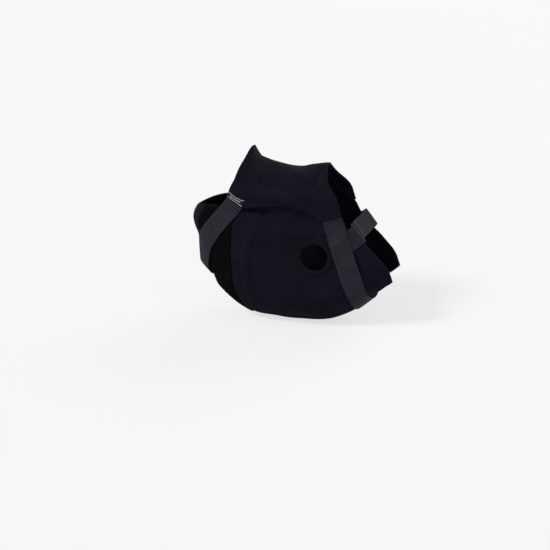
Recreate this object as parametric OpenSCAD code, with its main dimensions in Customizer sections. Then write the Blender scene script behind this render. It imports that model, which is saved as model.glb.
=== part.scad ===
// Cover for the mid motor of an e-bike: a neoprene pouch under a draped saddle panel, closed by three straps.
// Millimetres. The origin is the crank axle's centre on the mid-plane. X runs to the rear, Z up, Y to the drive side.

/* [Pouch] */
// Width over the two flat sides
cover_width = 120; // [110:1:140]
// Crank axle to the front of the nose
nose_reach = 170; // [160:1:185]
// Crank axle down to the keel line
keel_depth = 98; // [92:1:110]
// Crank axle to the pointed tip of the rear flap
flap_reach = 105; // [98:1:115]
// Crank axle up to the hidden top edge of a side
side_height = 71; // [68:1:76]
// Neoprene thickness
neoprene = 3; // [2:0.5:4]

/* [Axle opening] */
// Diameter inside the bound edge
opening_diameter = 36; // [32:1:38]
// Width of the binding on the face of the panel
binding_width = 5; // [4:0.5:6]
// Thickness of the binding tape
binding = 0.9; // [0.6:0.1:1.2]

/* [Saddle panel] */
// Height of the ridge above the axle
ridge_height = 110; // [104:1:118]
// How far the front corner stands above the ridge
tip_rise = 24; // [16:1:30]

/* [Straps] */
// Webbing thickness
webbing = 1.4; // [1:0.1:1.8]
// Thickness of the loop fabric
loop_fabric = 1.3; // [0.8:0.1:1.6]
// Thickness of a hook tab
hook_thickness = 1.9; // [1.4:0.1:2.4]

/* [Seams and label] */
// Width of the flatlock seam
seam_width = 5; // [4:0.5:7]
// Height of the flatlock seam
seam_height = 1; // [0.6:0.1:1.4]
// Thickness of the label
label_thickness = 0.6; // [0.4:0.1:1]

/* [Hidden] */
// Clearance between one layer and the next
gap = 0.4;
// Half of the clearance between two panels that meet at a seam, seen from the axle
slit = 0.12;
seam_slit = 0.005;
half = cover_width / 2;
bore_r = opening_diameter / 2;
hole_r = bore_r + binding + gap;
strap_low = 1.7 * gap;
patch_low = 1.4 * gap;
strap_lift = patch_low + max(webbing, loop_fabric) + 1.6 * gap;
round_power = 2.3;
first_a = -17;
last_a = 343;
seam_top_a = 141.8;
seam_foot_a = 225;
strip_top_a = 154.3;
lip_a = 163.5;
heel_a = 322;
// How far round from the flat field to the mid-plane the keel and the strip's front edge start
keel_place = 0.5920;
strip_place = 0.7645;
nr = nose_reach / 170;
kd = keel_depth / 98;
fr = flap_reach / 105;
sh = side_height / 71;
rh = ridge_height / 110;

// Reach of the mid-plane outline and radius of the flat field, by angle about the axle
outline = [
    [first_a, 121 * fr, 44], [-8, 105 * fr, 44], [0, 93 * fr, 44], [21, 71 * fr, 44], [42, 70 * sh, 44],
    [60, 84 * sh, 44], [90, 92 * sh, 44], [110, 115 * sh, 50], [127, 145 * nr, 57], [143, 165 * nr, 63],
    [159, 175 * nr, 68], [168, 182 * nr, 69], [176, 172 * nr, 70], [187, 169 * nr, 69], [194, 158 * nr, 67],
    [202, 156 * nr, 64], [213, 143 * nr, 59], [226, 130 * nr, 53], [240, 113 * kd, 48], [255, 102 * kd, 45],
    [270, 98 * kd, 44], [285, 97 * kd, 44], [301, 94.5 * kd, 44], [313, 94 * kd, 44], [heel_a, 97 * kd, 44],
    [last_a, 121 * fr, 44]
];

// Free top and rear edge of a side
top_edge = [
    [first_a, 105 * fr], [-12, 97.5 * fr], [3, 77 * fr], [21, 64 * fr], [42, 58.5 * sh], [58, 64 * sh],
    [75, 69 * sh], [90, 71 * sh], [110, 75 * sh], [127, 80.6 * sh], [134, 80.5 * sh], [seam_top_a, 84 * sh]
];

// Flatlock seam and front edge of the crescent strip
seam_line = [
    [seam_top_a, 84 * sh], [155, 84.5 * nr], [168, 86 * nr], [184, 87.5 * nr], [199, 93 * nr], [212, 103 * nr],
    [seam_foot_a, place_r(seam_foot_a, keel_place)]
];
strip_line = [
    [strip_top_a, 118 * nr], [167, 113 * nr], [179, 111.5 * nr], [191, 113.5 * nr], [203, 118.5 * nr],
    [214, 123 * nr], [seam_foot_a, place_r(seam_foot_a, strip_place)]
];

// Saddle panel, station by station from the front: lower edge, fold, shoulder, ridge
saddle_stations = [
    [[-117, 0, 72], [-109, -50, 93], [-102, -31, 115], [-97, 0, 108 + tip_rise]],
    [[-95, 0, 60], [-93, -54, 88], [-91, -32, 107], [-90, 0, 117]],
    [[-71, 0, 63], [-69, -56, 86], [-68, -32, 102], [-68, 0, 110.5]],
    [[-42, 0, 66], [-40, -57, 82], [-38, -32, 96], [-37, 0, 104]],
    [[-12, 0, 60], [-10, -58, 74], [-12, -34, 94], [-16, 0, 108]],
    [[11, 0, 48], [9, -57, 67], [1, -37, 90], [-2, 0, 110]],
    [[34, 0, 55], [27, -49, 76], [12, -32, 95], [7, 0, 111]]
];

neoprene_colour = [0.09, 0.09, 0.13];
loop_colour = [0.04, 0.04, 0.045];
webbing_colour = [0.17, 0.17, 0.2];
label_colour = [0.07, 0.08, 0.11];

// Smooth lookup in a table of rows [x, value, value]
function seg(x, t, i = 0) = (i >= len(t) - 2 || x < t[i + 1][0]) ? i : seg(x, t, i + 1);
function slope(t, i, k) =
    let (a = max(0, i - 1), b = min(len(t) - 1, i + 1))
    (t[b][k] - t[a][k]) / (t[b][0] - t[a][0]);
function hermite(f, h, y0, m0, y1, m1) =
    (2 * f * f * f - 3 * f * f + 1) * y0 + (f * f * f - 2 * f * f + f) * h * m0
    + (3 * f * f - 2 * f * f * f) * y1 + (f * f * f - f * f) * h * m1;
function tab(x, t, k = 1) =
    let (i = seg(x, t), h = t[i + 1][0] - t[i][0])
    hermite((x - t[i][0]) / h, h, t[i][k], slope(t, i, k), t[i + 1][k], slope(t, i + 1, k));
function lerp(a, b, f) = a + (b - a) * f;
function last(v) = v[len(v) - 1];

function unit(v) = v / max(1e-9, norm(v));

// The skin. Place t runs from -1 at the axle opening, 0 where the flat field ends, 1 on the mid-plane, 2 on the far side.
function turn(a) = a < first_a ? a + 360 : a > last_a ? a - 360 : a;
function reach(a) = tab(turn(a), outline, 1);
function field(a) = tab(turn(a), outline, 2);
function place(r, a) =
    let (f = field(a), m = (r - f) / (reach(a) - f))
    m <= 0 ? (r - f) / (f - hole_r) : asin(pow(min(1, m), round_power / 2)) / 90;
function side_of(a, t) =
    let (f = field(a), r = t <= 0 ? f + (f - hole_r) * t : f + (reach(a) - f) * pow(sin(90 * t), 2 / round_power))
    [r * cos(a), t <= 0 ? -half : -half * pow(max(0, cos(90 * t)), 2 / round_power), r * sin(a)];
function mirrored(p) = [p[0], -p[1], p[2]];
function skin(p) = p[1] <= 1 ? side_of(p[0], p[1]) : mirrored(side_of(p[0], 2 - p[1]));
function skin_normal(p) =
    p[1] < -0.01 ? [0, -1, 0] : p[1] > 2.01 ? [0, 1, 0]
    : unit(cross(skin([p[0], p[1] + 0.01]) - skin([p[0], p[1] - 0.01]), skin([p[0] + 0.5, p[1]]) - skin([p[0] - 0.5, p[1]])));
function above(p, d) = skin(p) + skin_normal(p) * d;
function at(x, z, base) =
    let (a = atan2(z, x), b = a < base ? a + 360 : a)
    [b, place(norm([x, z]), b)];

// A sheet is a grid of points. Its outward normals come from the grid.
function normal_at(g, i, j) =
    let (n = len(g) - 1, m = len(g[0]) - 1)
    unit(cross(g[min(n, i + 1)][j] - g[max(0, i - 1)][j], g[i][min(m, j + 1)] - g[i][max(0, j - 1)]));
function lifted(g, d) = [for (i = [0:len(g) - 1]) [for (j = [0:len(g[0]) - 1]) g[i][j] + normal_at(g, i, j) * d]];
function laid(g, d) = [for (i = [0:len(g) - 1]) [for (p = g[i]) above(p, is_list(d) ? d[i] : d)]];
function flipped(g) = [for (i = [len(g) - 1:-1:0]) g[i]];
function mirror_grid(g) = [for (row = flipped(g)) [for (p = row) mirrored(p)]];

// Solid between two grids of the same size
module between(low, high, closed = false) {
    n = len(low);
    m = len(low[0]);
    k = n * m;
    spans = closed ? n : n - 1;
    points = concat([for (row = low) each row], [for (row = high) each row]);
    faces = concat(
        [for (i = [0:spans - 1], j = [0:m - 2]) each let (p = i * m + j, q = ((i + 1) % n) * m + j)
            [[p, p + 1, q], [p + 1, q + 1, q], [k + p, k + q, k + p + 1], [k + p + 1, k + q, k + q + 1]]],
        [for (i = [0:spans - 1]) each let (p = i * m, q = ((i + 1) % n) * m, r = p + m - 1, s = q + m - 1)
            [[p, q, k + q], [p, k + q, k + p], [r, k + r, k + s], [r, k + s, s]]],
        closed ? [] : [for (j = [0:m - 2]) each let (p = j, q = (n - 1) * m + j)
            [[p, k + p, k + p + 1], [p, k + p + 1, p + 1], [q, q + 1, k + q + 1], [q, k + q + 1, k + q]]]
    );
    polyhedron(points, [for (f = faces) [f[2], f[1], f[0]]]);
}

module sheet(g, low, high) {
    between(laid(g, low), laid(g, high));
}

// Outer limit of a side at each angle
function heel_place(a) = place(tab(a, [[heel_a, place_r(heel_a, keel_place)], [332, 95 * fr], [last_a, 105 * fr]]), a);
function place_r(a, t) = norm([side_of(a, t)[0], side_of(a, t)[2]]);
function side_limit(a) =
    a <= seam_top_a ? place(tab(a, top_edge), a)
    : a <= seam_foot_a ? place(tab(a, seam_line), a) - seam_slit
    : a <= heel_a ? keel_place - seam_slit
    : heel_place(a);
function steps(a, b, n) = [for (i = [0:n - 1]) lerp(a, b, i / n)];
side_angles = concat(
    steps(first_a, 42, 9), steps(42, seam_top_a, 14), steps(seam_top_a, seam_foot_a, 13),
    steps(seam_foot_a, heel_a, 18), steps(heel_a, last_a, 4)
);
function side_row(a) = let (e = side_limit(a))
    concat([for (i = [0:2]) [a, i * 0.32 - 1]], [for (i = [0:8]) [a, e * i / 8]]);
side_grid = flipped([for (a = side_angles) side_row(a)]);

module side_panel_left() {
    color(neoprene_colour) between(laid(side_grid, -neoprene), laid(side_grid, 0), true);
}

module side_panel_right() {
    mirror([0, 1, 0]) side_panel_left();
}

// The crescent strip, from the seam forward
function strip_point(s, j) =
    let (
        b = lerp(seam_top_a, seam_foot_a - slit, j), c = lerp(strip_top_a, seam_foot_a - slit, j),
        tb = place(tab(b, seam_line), b) + seam_slit, tc = place(tab(c, strip_line), c)
    )
    [lerp(b, c, s), lerp(tb, tc, s)];
strip_grid = flipped([for (j = [0:18]) [for (s = [0:4]) strip_point(s / 4, j / 18)]]);

module front_strip_left() {
    color(neoprene_colour) sheet(strip_grid, -neoprene, 0);
}

module front_strip_right() {
    mirror([0, 1, 0]) front_strip_left();
}

// The nose, from the strip round the mid-plane
function nose_point(s, j) =
    let (
        c = lerp(strip_top_a, seam_foot_a - slit, j), m = lerp(lip_a, seam_foot_a - slit, j),
        tc = place(tab(c, strip_line), c) + 0.005, x = min(1, s)
    )
    s <= 1 ? [lerp(c, m, x * x * (3 - 2 * x)), lerp(tc, 1, s)] : let (p = nose_point(2 - s, j)) [p[0], 2 - p[1]];
nose_grid = flipped([for (j = [0:18]) [for (s = [0:20]) nose_point(s / 10, j / 18)]]);

module nose_panel() {
    color(neoprene_colour) sheet(nose_grid, -neoprene, 0);
}

patch_grid = flipped([
    for (j = [0:18]) [for (s = [0:6]) nose_point(lerp(0.03, 0.5, s / 6), lerp(0.015, 0.985, j / 18))]
]);

module loop_patch_left() {
    color(loop_colour) sheet(patch_grid, patch_low, patch_low + loop_fabric);
}

module loop_patch_right() {
    mirror([0, 1, 0]) loop_patch_left();
}

keel_grid = flipped([
    for (i = [0:18]) [
        for (s = [0:8]) [lerp(seam_foot_a + slit, heel_a, i / 18), lerp(keel_place, 2 - keel_place, s / 8)]
    ]
]);

module keel_panel() {
    color(neoprene_colour) sheet(keel_grid, -neoprene, 0);
}

// The saddle: its lower edge lies on the skin
function wide(p) = [p[0], p[1] * half / 60, 110 * (rh - 1) * max(0, (p[2] - 60) / 50) + p[2]];
function saddle_knot(i, j) =
    j == 4 ? mirrored(saddle_knot(i, 2))
    : let (p = saddle_stations[i][j])
    j == 0 ? [p[0], skin(at(p[0], p[2], 0))[1] - gap, p[2]]
    : wide(p);
function saddle_row(i, f) =
    let (
        j = min(2, floor(f)), x = f - j,
        a = saddle_knot(i, j), b = saddle_knot(i, j + 1),
        ma = j == 0 ? b - a : (b - saddle_knot(i, j - 1)) / 2,
        mb = (saddle_knot(i, j + 2) - a) / 2
    )
    hermite(x, 1, a, ma, b, mb);
function saddle_near(u, f) =
    let (i = min(5, floor(u)), x = u - i, a = saddle_row(i, f), b = saddle_row(i + 1, f))
    i == 0 || i == 5 ? lerp(a, b, x)
    : hermite(x, 1, a, i == 1 ? b - a : (b - saddle_row(i - 1, f)) / 2, b, i == 4 ? b - a : (saddle_row(i + 2, f) - a) / 2);
function clear_of_skin(p) =
    let (s = norm([p[0], p[2]]) < reach(atan2(p[2], p[0])) ? skin(at(p[0], p[2], 0))[1] - 1.4 * gap : 0)
    [p[0], min(p[1], s), p[2]];
function saddle(u, f) =
    f > 3 ? mirrored(saddle(u, 6 - f))
    : f < 1.5 ? clear_of_skin(saddle_near(u, f))
    : saddle_near(u, f);
saddle_grid = [for (i = [0:24]) [for (j = [0:24]) saddle(i / 4, j / 4)]];

module saddle_panel() {
    color(neoprene_colour) between(saddle_grid, lifted(saddle_grid, neoprene));
}

// Straps: both edges are drawn in the side view, then carried round the mid-plane
function along(v, f) =
    let (n = len(v) - 1, i = min(n - 1, floor(f * n)), x = f * n - i)
    hermite(x, 1, v[i], (v[i + 1] - v[max(0, i - 1)]) / (i == 0 ? 1 : 2), v[i + 1],
        (v[min(n, i + 2)] - v[i]) / (i == n - 1 ? 1 : 2));
function strap_edge(v, base, mid_a, n, m) =
    let (
        near = [for (i = [0:n]) let (p = along(v, i / n)) at(p[0], p[1], base)],
        p = near[n], run = (p - near[n - 1]) * m,
        wrap = [for (j = [1:m]) hermite(j / m, 1, p, run, [mid_a, 1], [0, 1.2 * (1 - p[1])])],
        path = concat(near, wrap), k = len(path)
    )
    concat(path, [for (i = [k - 2:-1:0]) [path[i][0], 2 - path[i][1]]]);
function ribbon(e1, e2, columns, extra = 0) = [
    for (i = [0:len(e1) - 1]) [for (j = [0:columns]) lerp(e1[i], e2[i], lerp(-extra, 1 + extra, j / columns))]
];
function cut(v, first, final) = [for (i = [first:final]) v[i]];

// A strap's top end stands against the saddle's lower edge between stations u1 and u2
function edge_row(u1, u2, columns, d) = [
    for (j = [0:columns]) let (
        u = lerp(u1, u2, j / columns), e = 0.02,
        p = saddle(u, 0), v = saddle(u, 0.1) - p,
        n = unit(cross(saddle(min(6, u + e), 0) - saddle(max(0, u - e), 0), v))
    ) p + n * d - unit(v) * 2 * gap
];

front_near = 16;
front_wrap = 9;
front_mid = front_near + front_wrap;
front_upper = strap_edge([[-119, 68], [-140, 44], [-158, 20], [-161, 6], [-159.5, -9]], 0, 188, front_near, front_wrap);
front_lower = strap_edge([[-97, 56], [-119, 31], [-138, 5], [-144, -13], [-147, -28]], 0, 197, front_near, front_wrap);
front_full = ribbon(front_upper, front_lower, 4);
front_lift = [for (i = [0:2 * front_mid]) lerp(strap_low, strap_lift, min(1, max(0, abs(i - front_mid) - 2) / 6))];
front_end = 41;

rear_near = 24;
rear_wrap = 8;
rear_mid = rear_near + rear_wrap;
rear_fore = strap_edge([[12.5, 43], [24, 8], [37, -31], [49, -66]], -180, -56, rear_near, rear_wrap);
rear_aft = strap_edge([[35.5, 50.5], [49, 15], [61.5, -20], [69, -47]], -180, -39, rear_near, rear_wrap);
rear_full = ribbon(rear_fore, rear_aft, 5);
rear_lift = [
    for (i = [0:2 * rear_mid]) lerp(strap_low, strap_lift, min(1, max(0, i < rear_mid ? 20 - i : i - rear_mid - 4) / 6))
];
rear_end = 45;

function trimmed(g) = concat([lerp(g[0], g[1], 0.06)], [for (i = [1:len(g) - 1]) g[i]]);

module hook_tab(low, high, first, final) {
    between(trimmed(cut(low, first, final)), trimmed(cut(high, first, final)));
}

module topped_strap(full, lift, final, u1, u2) {
    n = len(full[0]) - 1;
    between(
        concat([edge_row(u1, u2, n, neoprene - webbing)], cut(laid(full, lift), 0, final)),
        concat([edge_row(u1, u2, n, neoprene)], cut(laid(full, [for (d = lift) d + webbing]), 0, final))
    );
}

module front_strap() {
    color(webbing_colour) topped_strap(front_full, front_lift, front_end, 0, 1);
}

module front_hook_tab() {
    color(loop_colour)
        hook_tab(laid(front_full, front_lift), laid(front_full, [for (d = front_lift) d + hook_thickness]),
            front_end, front_end + 5);
}

module rear_strap() {
    color(webbing_colour) topped_strap(rear_full, rear_lift, rear_end, 5, 6);
}

module rear_hook_tab() {
    color(loop_colour)
        hook_tab(laid(rear_full, rear_lift), laid(rear_full, [for (d = rear_lift) d + hook_thickness]),
            rear_end, rear_end + 6);
}

module rear_loop_pad() {
    g = cut(ribbon(rear_fore, rear_aft, 5, 0.08), rear_end - 3, rear_end + 8);
    color(loop_colour) sheet(g, patch_low, patch_low + loop_fabric);
}

// The seat tube's strap lies on the sides and goes round behind the tube between them
function tube_near(d, extra = 0) = laid([
    for (i = [0:10]) [
        for (j = [0:5]) let (
            f = i / 10, w = lerp(-extra, 1 + extra, j / 5),
            p = lerp(lerp([32.5, -2.5], [20, 18], w), lerp([58, 17], [42, 38], w), f)
        ) at(p[0], p[1], -180)
    ]
], d);
function tube_knots(p) = [
    p, p + [5, 2.5, 4], p + [6, 7.5, 4.6], p + [3, 19, 1.5], [p[0] - 3, -12, p[2] - 3], [p[0] - 4, 0, p[2] - 4]
];
function tube_half(d) =
    let (g = tube_near(d))
    concat(g, [for (i = [1:12]) [for (j = [0:5]) along(tube_knots(g[10][j]), i / 12)]]);
tube_full = concat(tube_half(gap), [for (i = [21:-1:0]) [for (p = tube_half(strap_lift)[i]) mirrored(p)]]);
tube_end = 39;

module seat_tube_strap() {
    color(webbing_colour) between(cut(tube_full, 0, tube_end), cut(lifted(tube_full, webbing), 0, tube_end));
}

module seat_tube_hook_tab() {
    color(loop_colour) hook_tab(tube_full, lifted(tube_full, hook_thickness), tube_end, 44);
}

module seat_tube_loop_pad() {
    mirror([0, 1, 0]) color(loop_colour)
        between(cut(tube_near(patch_low, 0.08), 0, 8), cut(tube_near(patch_low + loop_fabric, 0.08), 0, 8));
}

module label() {
    g = [
        for (i = [0:4]) [
            for (j = [0:3]) let (v = j / 3) saddle(lerp(0.03, lerp(0.97, 1.16, v), i / 4), lerp(0.03, 0.46, v))
        ]
    ];
    color(label_colour) between(lifted(g, neoprene + gap), lifted(g, neoprene + gap + label_thickness));
}

module axle_binding_left() {
    color(loop_colour) translate([0, -half, 0]) rotate([-90, 0, 0]) rotate_extrude($fn = 96) polygon([
        [bore_r, -gap - binding], [hole_r + binding_width, -gap - binding], [hole_r + binding_width, -gap],
        [bore_r + binding, -gap], [bore_r + binding, neoprene + gap],
        [hole_r + binding_width, neoprene + gap], [hole_r + binding_width, neoprene + gap + binding],
        [bore_r, neoprene + gap + binding]
    ]);
}

module axle_binding_right() {
    mirror([0, 1, 0]) axle_binding_left();
}

seam_grid = flipped([
    for (j = [0:26]) let (a = lerp(seam_top_a + 1, seam_foot_a - 1, j / 26), r = tab(a, seam_line)) [
        for (s = [-1:1]) [a, place(r + s * seam_width / 2, a)]
    ]
]);

module front_seam_left() {
    color(neoprene_colour) between(laid(seam_grid, gap), [
        for (row = seam_grid) [for (j = [0:2]) above(row[j], gap + (j == 1 ? 1 : 0.4) * seam_height)]
    ]);
}

module front_seam_right() {
    mirror([0, 1, 0]) front_seam_left();
}

side_panel_left();
side_panel_right();
front_strip_left();
front_strip_right();
nose_panel();
loop_patch_left();
loop_patch_right();
keel_panel();
saddle_panel();
front_strap();
front_hook_tab();
rear_strap();
rear_hook_tab();
rear_loop_pad();
seat_tube_strap();
seat_tube_hook_tab();
seat_tube_loop_pad();
label();
axle_binding_left();
axle_binding_right();
front_seam_left();
front_seam_right();
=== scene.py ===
"""The e-bike motor cover, dressed over its CAD frame.

Lengths in the shape functions are millimetres, as in part.scad.
"""

import bmesh
import bpy
import numpy as np
from mathutils import Matrix, Vector


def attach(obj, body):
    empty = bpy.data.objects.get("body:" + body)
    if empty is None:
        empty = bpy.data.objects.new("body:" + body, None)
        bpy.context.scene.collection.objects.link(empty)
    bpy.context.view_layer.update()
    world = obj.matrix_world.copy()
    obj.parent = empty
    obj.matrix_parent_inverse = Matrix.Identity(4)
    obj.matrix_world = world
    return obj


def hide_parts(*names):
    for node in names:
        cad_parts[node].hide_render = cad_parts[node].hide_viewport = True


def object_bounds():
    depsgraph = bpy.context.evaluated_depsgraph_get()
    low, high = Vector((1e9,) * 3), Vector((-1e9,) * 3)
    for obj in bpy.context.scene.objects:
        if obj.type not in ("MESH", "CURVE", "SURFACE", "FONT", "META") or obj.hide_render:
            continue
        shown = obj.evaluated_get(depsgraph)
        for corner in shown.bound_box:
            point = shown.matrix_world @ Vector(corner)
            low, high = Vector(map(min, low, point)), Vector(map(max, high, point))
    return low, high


MM = 0.001

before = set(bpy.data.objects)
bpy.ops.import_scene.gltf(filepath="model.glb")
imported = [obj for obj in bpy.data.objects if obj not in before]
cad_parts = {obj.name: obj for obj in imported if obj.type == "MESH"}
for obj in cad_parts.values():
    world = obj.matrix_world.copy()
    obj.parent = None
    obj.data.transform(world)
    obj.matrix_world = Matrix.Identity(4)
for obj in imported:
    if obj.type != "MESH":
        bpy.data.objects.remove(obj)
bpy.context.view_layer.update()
scene = bpy.context.scene

# Camera, as fitted to the photograph
PHOTO_SIDE = 550
AXLE_PX = (322.7, 246.4)
PX_PER_MM = 0.745
DISTANCE = 1300.0
AZIMUTH, ELEVATION = np.radians(14.0), np.radians(16.6)
right = np.array([np.cos(AZIMUTH), np.sin(AZIMUTH), 0.0])
back = np.array([
    np.sin(AZIMUTH) * np.cos(ELEVATION), -np.cos(AZIMUTH) * np.cos(ELEVATION), np.sin(ELEVATION)
])
up = np.cross(back, right)
aim = (PHOTO_SIDE / 2 - AXLE_PX[0]) / PX_PER_MM * right - (PHOTO_SIDE / 2 - AXLE_PX[1]) / PX_PER_MM * up
camera = bpy.data.objects.new("camera", bpy.data.cameras.new("camera"))
scene.collection.objects.link(camera)
camera.data.sensor_width = 36.0
camera.data.lens = camera.data.sensor_width * PX_PER_MM * DISTANCE / PHOTO_SIDE
camera.location = Vector((aim + back * DISTANCE) * MM)
camera.rotation_mode = "QUATERNION"
camera.rotation_quaternion = Matrix([right, up, back]).transposed().to_quaternion()
camera.data.clip_start = 0.05
camera.data.clip_end = 60.0
scene.camera = camera

# Sizes, as in part.scad
HALF = 60.0
NEOPRENE = 3.0
BORE_R = 18.0
BINDING = 0.9
BINDING_WIDTH = 5.0
GAP = 0.4
HOLE_R = BORE_R + BINDING + GAP
WEBBING = 1.4
LOOP = 1.3
HOOK = 1.9
LABEL = 0.6
PATCH_LOW = 1.4 * GAP
SADDLE_LOW = 1.4 * GAP
STRAP_LOW = 1.7 * GAP
STRAP_LIFT = PATCH_LOW + WEBBING + 1.6 * GAP
SEAM_WIDTH = 5.0
SEAM_HEIGHT = 1.0
POWER = 2.3
# Angles round the axle in degrees: 0 is straight back and 90 straight up
FIRST_A, LAST_A = -17.0, 343.0
WAIST_A = 42.0
SEAM_TOP_A, SEAM_FOOT_A = 141.8, 225.0
STRIP_TOP_A, LIP_A, HEEL_A = 154.3, 163.5, 322.0
# Radii at which the flatlock seam and the strip's front edge come down to the keel
SEAM_FOOT_R, STRIP_FOOT_R = 117.5, 126.5
# Half of the clearance between two panels at a seam: in degrees, and as a share of the way round
SLIT, SEAM_SLIT = 0.12, 0.005

# Each row: angle, radius at the mid-plane, radius of the flat field on the side
OUTLINE = [
    [FIRST_A, 121, 44], [-8, 105, 44], [0, 93, 44], [21, 71, 44], [WAIST_A, 70, 44],
    [60, 84, 44], [90, 92, 44], [110, 115, 50], [127, 145, 57], [143, 165, 63],
    [159, 175, 68], [168, 182, 69], [176, 172, 70], [187, 169, 69], [194, 158, 67],
    [202, 156, 64], [213, 143, 59], [226, 130, 53], [240, 113, 48], [255, 102, 45],
    [270, 98, 44], [285, 97, 44], [301, 94.5, 44], [313, 94, 44], [HEEL_A, 97, 44],
    [LAST_A, 121, 44],
]
# Edges of the side panel and the strip: angle, radius
TOP_EDGE = [
    [FIRST_A, 105], [-12, 97.5], [3, 77], [21, 64], [WAIST_A, 58.5], [58, 64],
    [75, 69], [90, 71], [110, 75], [127, 80.6], [134, 80.5], [SEAM_TOP_A, 84],
]
HEEL_RUN = [[332, 95], [LAST_A, 105]]
SEAM_LINE = [
    [SEAM_TOP_A, 84], [155, 84.5], [168, 86], [184, 87.5], [199, 93], [212, 103],
    [SEAM_FOOT_A, SEAM_FOOT_R],
]
STRIP_LINE = [
    [STRIP_TOP_A, 118], [167, 113], [179, 111.5], [191, 113.5], [203, 118.5], [214, 123],
    [SEAM_FOOT_A, STRIP_FOOT_R],
]
# Stations of the saddle from front to rear, each with four points from its lower edge up to the ridge
SADDLE = [
    [[-117, 0, 72], [-109, -50, 93], [-102, -31, 115], [-97, 0, 132]],
    [[-95, 0, 60], [-93, -54, 88], [-91, -32, 107], [-90, 0, 117]],
    [[-71, 0, 63], [-69, -56, 86], [-68, -32, 102], [-68, 0, 110.5]],
    [[-42, 0, 66], [-40, -57, 82], [-38, -32, 96], [-37, 0, 104]],
    [[-12, 0, 60], [-10, -58, 74], [-12, -34, 94], [-16, 0, 108]],
    [[11, 0, 48], [9, -57, 67], [1, -37, 90], [-2, 0, 110]],
    [[34, 0, 55], [27, -49, 76], [12, -32, 95], [7, 0, 111]],
]


# The skin that every piece follows
def hermite(f, h, y0, m0, y1, m1):
    """A cubic from y0 to y1 over a span h, with slopes m0 and m1, at share f of the span."""
    return (
        (2 * f**3 - 3 * f**2 + 1) * y0 + (f**3 - 2 * f**2 + f) * h * m0
        + (3 * f**2 - 2 * f**3) * y1 + (f**3 - f**2) * h * m1
    )


def tab(x, table, k=1):
    """Column k of a table, read at x along a smooth curve through its rows."""
    t = np.array(table, float)
    xs, ys = t[:, 0], t[:, k]
    n = len(xs)
    x = np.asarray(x, float)
    i = np.clip(np.searchsorted(xs, x, side="right") - 1, 0, n - 2)
    lo, hi = np.maximum(np.arange(n) - 1, 0), np.minimum(np.arange(n) + 1, n - 1)
    m = (ys[hi] - ys[lo]) / (xs[hi] - xs[lo])
    h = xs[i + 1] - xs[i]
    return hermite((x - xs[i]) / h, h, ys[i], m[i], ys[i + 1], m[i + 1])


def turn(a):
    """An angle brought into the range of the tables."""
    a = np.asarray(a, float)
    return np.where(a < FIRST_A, a + 360, np.where(a > LAST_A, a - 360, a))


def reach(a):
    """Radius of the skin at the mid-plane."""
    return tab(turn(a), OUTLINE, 1)


def field(a):
    """Radius out to which the side is flat."""
    return tab(turn(a), OUTLINE, 2)


def place(r, a):
    """How far round a radius lies: 0 where the side stops being flat, 1 at the mid-plane."""
    f = field(a)
    m = (r - f) / (reach(a) - f)
    curve = np.degrees(np.arcsin(np.clip(m, 0, 1) ** (POWER / 2))) / 90
    return np.where(m <= 0, (r - f) / (f - HOLE_R), curve)


def base_skin(a, t):
    """The plain skin, both sides: t above 1 is the far side."""
    a, t = np.broadcast_arrays(np.asarray(a, float), np.asarray(t, float))
    s = np.where(t <= 1, t, 2 - t)
    f = field(a)
    c = np.radians(90 * np.clip(s, 0, 1))
    r = np.where(s <= 0, f + (f - HOLE_R) * s, f + (reach(a) - f) * np.sin(c) ** (2 / POWER))
    y = np.where(s <= 0, -HALF, -HALF * np.clip(np.cos(c), 0, None) ** (2 / POWER))
    y = np.where(t <= 1, y, -y)
    q = np.radians(a)
    return np.stack([r * np.cos(q), y, r * np.sin(q)], -1)


def unit(v):
    return v / np.maximum(1e-9, np.linalg.norm(v, axis=-1, keepdims=True))


def skin_normal(a, t):
    """Direction out of the skin, straight to the side where it is flat."""
    n = unit(np.cross(
        base_skin(a, t + 0.01) - base_skin(a, t - 0.01), base_skin(a + 0.5, t) - base_skin(a - 0.5, t)
    ))
    n = np.where((t < -0.01)[..., None], [0.0, -1.0, 0.0], n)
    return np.where((t > 2.01)[..., None], [0.0, 1.0, 0.0], n)


# A crease runs between two points of the side view: (x, z, x, z, half width, height)
NEAR_CREASES = [
    (-42, 57, 4, 42, 8, -4.4), (2, 43, 18, 36, 5, -1.8), (-48, 36, 14, 24, 7, 3.3),
    (-14, 30, 22, 27, 3.5, -1.8), (-6, 27, 6, 34, 2.2, -1.4), (8, 24, 22, 33, 2.2, -1.4),
    (20, 14, 34, 24, 2.6, 1.3), (-62, 46, -34, 18, 9, 1.7), (-70, 20, -42, -12, 10, -1.5),
    (-60, -20, -32, -62, 12, 1.7), (30, -28, 66, -42, 7, 1.6), (66, 8, 96, -22, 7, 2.2),
    (56, -16, 88, -34, 6, -2.0), (-24, -30, 24, -72, 12, -1.8), (0, -46, 40, -58, 8, 1.4),
    (-95, 30, -98, -34, 8, 1.2), (-140, -52, -112, -66, 7, -1.4), (-130, -40, -104, -52, 7, 1.2),
    (-104, 44, -96, 12, 5, -0.9), (24, 46, 37, 6, 15, -1.1), (37, 6, 50, -34, 15, -1.1),
    (50, -34, 62, -62, 15, -1.1), (-108, 62, -130, 36, 14, -1.0), (-130, 36, -152, 2, 14, -1.0),
]
FAR_CREASES = [
    (-40, 57, 8, 42, 7, -2.8), (-44, 38, 16, 27, 8, 2.0), (-66, 40, -34, 16, 9, 1.6),
    (-16, 30, 20, 28, 3.5, -1.5), (-60, -8, -32, -50, 12, -1.7), (34, -24, 70, -36, 7, 1.4),
    (60, 6, 92, -18, 7, 1.8), (-12, -34, 30, -70, 12, 1.5), (-142, -50, -110, -64, 7, -1.4),
    (-98, 34, -94, -20, 8, 1.1), (26, 30, 40, 4, 12, -0.8), (54, -36, 64, -60, 13, -0.9),
]
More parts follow.
